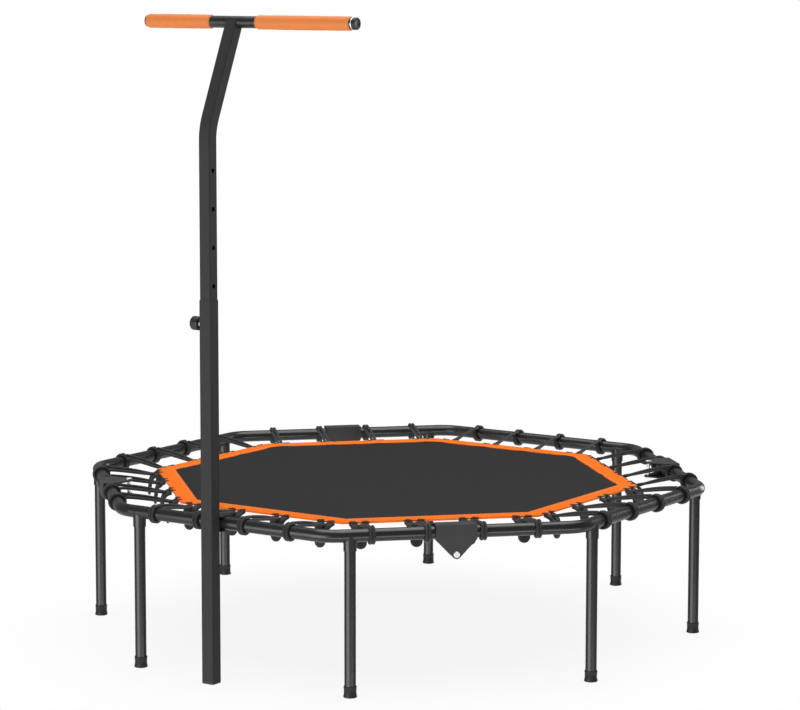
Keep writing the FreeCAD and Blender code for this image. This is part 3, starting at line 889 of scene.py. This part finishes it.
# ---- feet, rivets and welds ---------------------------------------------------------
def rubber_foot(node, body):
    """Pushed-on rubber cap: a rolled lip, two grip rings and a flared sole."""
    low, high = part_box(node)
    centre = (low + high) / 2
    flare = (high.x - low.x) / 2
    height = high.z - low.z
    wall = flare - 1 * MM
    sole = 4 * MM
    profile = [(0.0, low.z), (flare - 1.4 * MM, low.z), (flare - 0.4 * MM, low.z + 0.4 * MM),
               (flare, low.z + 1.2 * MM), (flare, low.z + 2.6 * MM),
               (flare - 0.5 * MM, low.z + 4.2 * MM), (wall, low.z + 6.5 * MM)]
    for ring in (9.5, 12.5):
        profile += [(wall, (ring - 1) * MM), (wall - 0.5 * MM, (ring - 0.5) * MM),
                    (wall - 0.5 * MM, (ring + 0.5) * MM), (wall, (ring + 1) * MM)]
    profile += [(wall, height - 3.6 * MM), (wall + 0.45 * MM, height - 2.8 * MM),
                (wall + 0.45 * MM, height - 1.2 * MM), (wall - 0.1 * MM, height - 0.3 * MM),
                (LEG_R + 0.35 * MM, height), (LEG_R + 0.02 * MM, height - 0.7 * MM),
                (LEG_R + 0.02 * MM, sole), (0.0, sole)]
    verts, faces = lathe(profile, 48)
    place = Vector((centre.x, centre.y, 0))
    foot = mesh_object(node + "_rubber", [v + place for v in verts], faces)
    dress(foot, "foot_rubber", body)
    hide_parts(node)


def bead(points, radius):
    """Weld bead: a thin closed tube whose thickness ripples like laid metal."""
    ripples = max(6, len(points) // 3)

    def thickness(share):
        return radius * (1 + 0.16 * math.sin(TURN * ripples * share))

    return tube_along(points, thickness, 8, closed=True)


def socket_bead():
    """Where a leg's upright socket meets the underside of the frame tube."""
    steps = 72
    points = []
    for i in range(steps):
        turn = TURN * i / steps
        across = SOCKET_R * math.sin(turn)
        drop = math.sqrt(max(TUBE_R ** 2 - across ** 2, (2.5 * MM) ** 2))
        along = LEG_ALONG + (SOCKET_R + 0.2 * MM) * math.cos(turn)
        points.append(Vector((along, -APOTHEM + across, RING_Z - drop)))
    return bead(points, 1.1 * MM)


def weld_beads():
    right_sides, left_sides = (315, 0, 45, 90), (135, 180, 225, 270)
    for body, name, sides in ((RIGHT, "right", right_sides), (LEFT, "left", left_sides)):
        beads = Builder()
        for angle in sides:
            beads.add(*socket_bead(), side_matrix(angle))
        dress(beads.make("socket_welds_" + name), "frame_paint", body)


def mast_bead():
    """Weld round the mast's top, where it meets the underside of the crossbar."""
    low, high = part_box("crossbar")
    bar_z = (low.z + high.z) / 2
    bar_r = (high.z - low.z) / 2
    to_side = side_matrix(HANDLE_ANGLE).inverted()
    below = bar_z - bar_r - 2 * MM
    top = [to_side @ v.co for v in frame["nodes"]["mast"].data.vertices if v.co.z > below]
    first, second = min(p.x for p in top), max(p.x for p in top)
    bar_out = (to_side @ ((low + high) / 2)).y
    arc = [math.radians(a) for a in range(-155, -14, 7)]
    points = [
        Vector((x, bar_out + bar_r * math.cos(turn), bar_z + bar_r * math.sin(turn)))
        for x, turns in ((first, arc), (second, arc[::-1])) for turn in turns]
    builder = Builder()
    builder.add(*bead(points, 1.2 * MM), side_matrix(HANDLE_ANGLE))
    dress(builder.make("mast_weld"), "frame_paint", MAST)


def make_hardware():
    for body in (LEFT, RIGHT):
        for node in frame["record"]["behaviour"]["bodies"][body]:
            if node.startswith("foot_"):
                rubber_foot(node, body)
    weld_beads()
    mast_bead()
    foam_grip("grip_short")
    foam_grip("grip_long")
    end_cap("crossbar_cap_left", -1)
    end_cap("crossbar_cap_right", 1)
    pull_knob()


# ---- floor, light and camera ----------------------------------------------------------
def make_floor():
    """Pale floor that takes soft shadows near the object and fades into the white studio."""
    span = 6.0
    corners = [(-span, -span, 0), (span, -span, 0), (span, span, 0), (-span, span, 0)]
    floor = mesh_object("floor", corners, [(0, 1, 2, 3)], smooth=False)
    s = Shader("pale_floor", 0.9, Specular_IOR_Level=0.0)
    s.bsdf.inputs["Base Color"].default_value = (0.93, 0.93, 0.93, 1)
    clear = s.node("ShaderNodeBsdfTransparent")
    mix = s.node("ShaderNodeMixShader")
    far = s.node("ShaderNodeVectorMath", operation="LENGTH")
    s.link(s.place(), far.inputs[0])
    fade = s.node("ShaderNodeMapRange", interpolation_type="SMOOTHSTEP")
    s.link(far.outputs["Value"], fade.inputs["Value"])
    for name, value in (("From Min", 0.6), ("From Max", 2.6), ("To Min", 0.12), ("To Max", 0.0)):
        fade.inputs[name].default_value = value
    s.link(fade.outputs["Result"], mix.inputs["Fac"])
    s.link(clear.outputs[0], mix.inputs[1])
    s.link(s.bsdf.outputs[0], mix.inputs[2])
    s.link(mix.outputs[0], s.tree.nodes["Material Output"].inputs["Surface"])
    floor.data.materials.append(s.mat)


def make_world():
    """White behind the object; the light it gives is brighter from the floor than from above."""
    world = bpy.data.worlds.new("studio")
    bpy.context.scene.world = world
    world.use_nodes = True
    nodes, links = world.node_tree.nodes, world.node_tree.links
    background = nodes["Background"]
    background.inputs["Color"].default_value = (1, 1, 1, 1)
    where = nodes.new("ShaderNodeTexCoord")
    split = nodes.new("ShaderNodeSeparateXYZ")
    links.new(where.outputs["Generated"], split.inputs[0])
    glow = nodes.new("ShaderNodeMapRange")
    links.new(split.outputs["Z"], glow.inputs["Value"])
    for name, value in (("From Min", -0.5), ("From Max", -0.2), ("To Min", 0.8), ("To Max", 0.24)):
        glow.inputs[name].default_value = value
    path = nodes.new("ShaderNodeLightPath")
    pick = nodes.new("ShaderNodeMix")
    links.new(path.outputs["Is Camera Ray"], pick.inputs[0])
    links.new(glow.outputs["Result"], pick.inputs[2])
    pick.inputs[3].default_value = 1.0
    links.new(pick.outputs[0], background.inputs["Strength"])


def softbox(name, place, aim, size, power):
    light = bpy.data.lights.new(name, "AREA")
    light.shape = "RECTANGLE"
    light.size, light.size_y = size
    light.energy = power
    obj = bpy.data.objects.new(name, light)
    bpy.context.scene.collection.objects.link(obj)
    obj.location = place
    obj.rotation_euler = (Vector(aim) - Vector(place)).to_track_quat("-Z", "Y").to_euler()
    obj.visible_camera = False


def make_lights():
    middle = (0, 0, 0.5)
    softbox("overhead", (0.2, 0.3, 4.2), middle, (4.0, 4.0), 180)
    softbox("front_left", (-5.0, -3.4, -0.3), middle, (5.2, 3.8), 270)
    softbox("floor_bounce", (0.3, -2.9, -1.0), (0, -0.5, 0.3), (4.5, 0.6), 34)
    softbox("rim_right", (4.4, 2.4, 0.9), middle, (1.5, 2.6), 60)


def make_camera():
    """Left of the object and just above the crossbar, turned a little right and down."""
    data = bpy.data.cameras.new("camera")
    data.sensor_width = 36
    data.lens = 130.32
    data.shift_x = -0.0046
    data.shift_y = -0.0211
    data.clip_start, data.clip_end = 0.1, 200
    camera = bpy.data.objects.new("camera", data)
    bpy.context.scene.collection.objects.link(camera)
    camera.location = (-1.1708, -5.8529, 1.3706)
    yaw, pitch, roll = (math.radians(a) for a in (11.515, 7.310, 0.075))
    aim = Matrix.Rotation(-yaw, 4, "Z") @ Matrix.Rotation(math.pi / 2 - pitch, 4, "X")
    camera.rotation_euler = (aim @ Matrix.Rotation(roll, 4, "Z")).to_euler()
    bpy.context.scene.camera = camera


make_camera()
bpy.context.scene.view_settings.view_transform = "Standard"
dress_cad_nodes()
make_bed()
make_hardware()
make_floor()
make_world()
make_lights()
